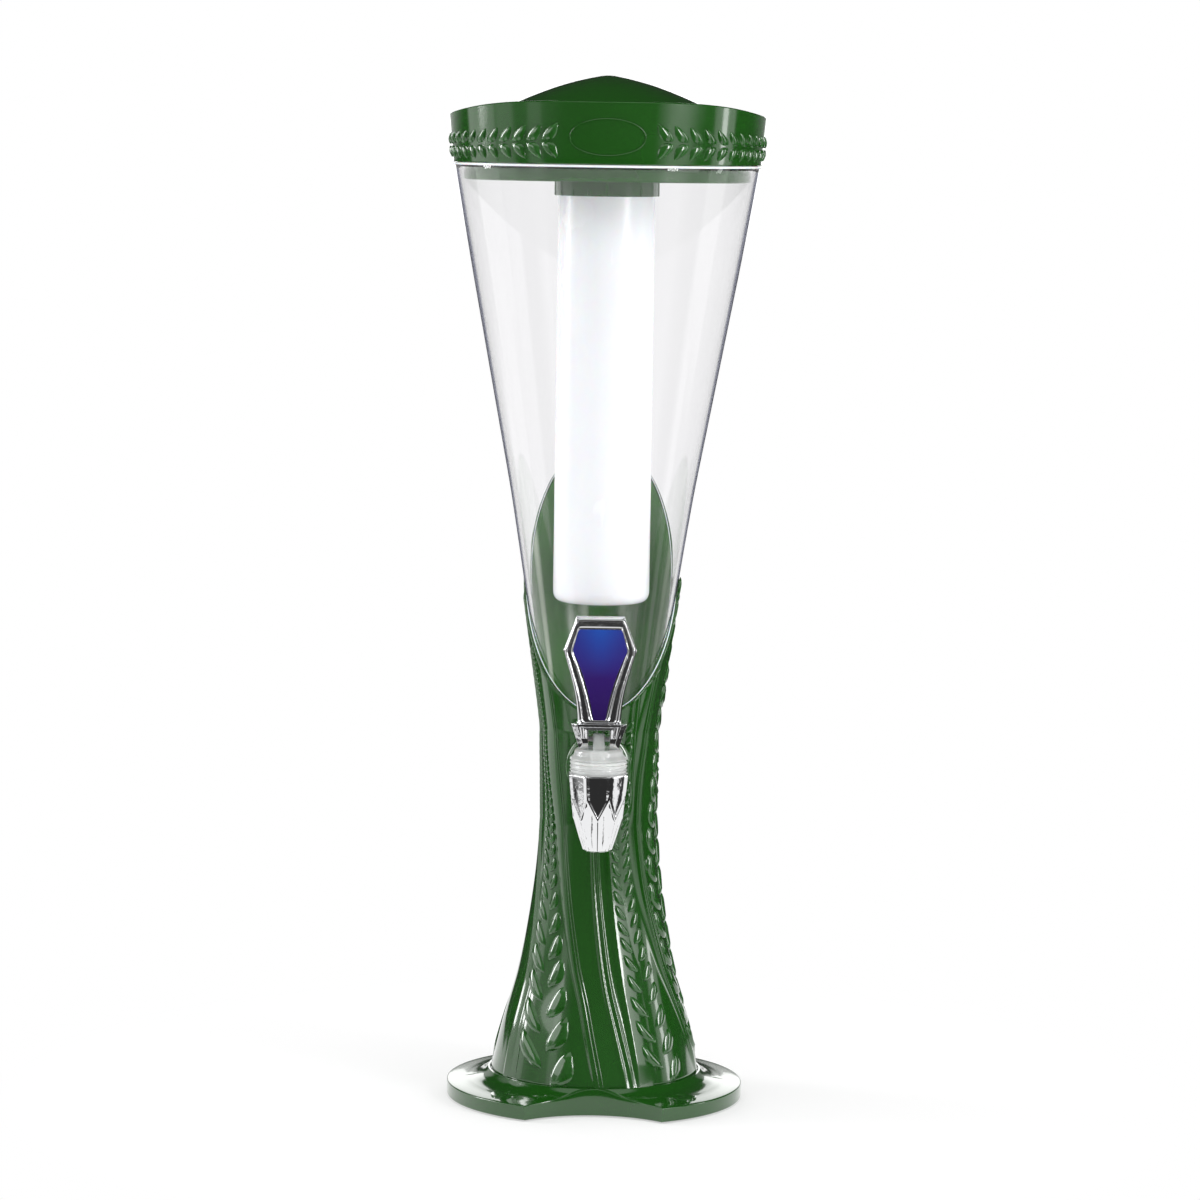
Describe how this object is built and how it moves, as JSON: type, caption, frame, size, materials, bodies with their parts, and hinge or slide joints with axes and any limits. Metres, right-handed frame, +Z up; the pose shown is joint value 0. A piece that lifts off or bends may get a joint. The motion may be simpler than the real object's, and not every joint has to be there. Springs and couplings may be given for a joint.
{
  "type": "beer tower dispenser",
  "caption": "Table-top drink tower: clear tapered vessel with an ice tube under its lid, on a twisted hollow column and base, with a lever tap.",
  "frame": {"origin": "on the table, under the axis of the tower, at the middle of the part's box", "axes": "+Z up along the tower's axis, -Y towards the user, where the tap is, +X to the right as seen by the user"},
  "size_m": [0.189, 0.1906, 0.6128],
  "materials": {
    "green_plastic": "glossy moulded bottle-green plastic",
    "black_rubber": "soft black rubber",
    "plain_steel": "plain turned steel",
    "clear_plastic": "clear polished plastic",
    "frosted_plastic": "milky translucent plastic",
    "tap_chrome": "bright chrome plate",
    "clear_silicone": "cloudy silicone rubber",
    "nut_plastic": "natural white nylon",
    "bonnet_plastic": "clear-white ribbed plastic",
    "stem_plastic": "clear moulded plastic",
    "spring_steel": "bright spring wire",
    "badge_blue": "bare blue-violet plate under a clear coat"
  },
  "bodies": {
    "tower": {"base_plate": "green_plastic", "rubber_feet": "black_rubber", "base_screws": "plain_steel", "column": "green_plastic", "vessel": "clear_plastic", "tap_body": "tap_chrome", "shank_washer_outer": "clear_silicone", "shank_washer_inner": "clear_silicone", "shank_nut": "nut_plastic", "tap_bonnet": "bonnet_plastic", "bonnet_gasket": "clear_silicone", "stem_spring": "spring_steel"},
    "lid_set": {"lid": "green_plastic", "lid_dome": "green_plastic"},
    "tube_set": {"ice_tube": "frosted_plastic"},
    "stem_set": {"valve_stem": "stem_plastic", "seat_cup": "clear_silicone", "handle_pin": "plain_steel"},
    "handle_set": {"tap_handle": "tap_chrome", "handle_badge": "badge_blue"}
  },
  "joints": [
    {"name": "lid_lift", "type": "slide", "parent": "tower", "child": "lid_set", "axis": [0, 0, 1], "range_m": [0, 0.3]},
    {"name": "ice_tube_twist", "type": "hinge", "parent": "lid_set", "child": "tube_set", "pos_m": [0, 0, 0.57], "axis": [0, 0, 1], "range_deg": [-30, 0]},
    {"name": "stem_lift", "type": "slide", "parent": "tower", "child": "stem_set", "axis": [0, 0, 1], "range_m": [0, 0.0046], "stiffness_N_per_m": 800, "springref_m": -0.01, "deforming": ["stem_spring"]},
    {"name": "handle_tilt", "type": "hinge", "parent": "stem_set", "child": "handle_set", "pos_m": [0, -0.062, 0.2256], "axis": [1, 0, 0], "range_deg": [0, 50]}
  ],
  "couplings": [
    {"joint": "stem_lift", "follows": "handle_tilt", "m_per_rad": 0.00509}
  ]
}
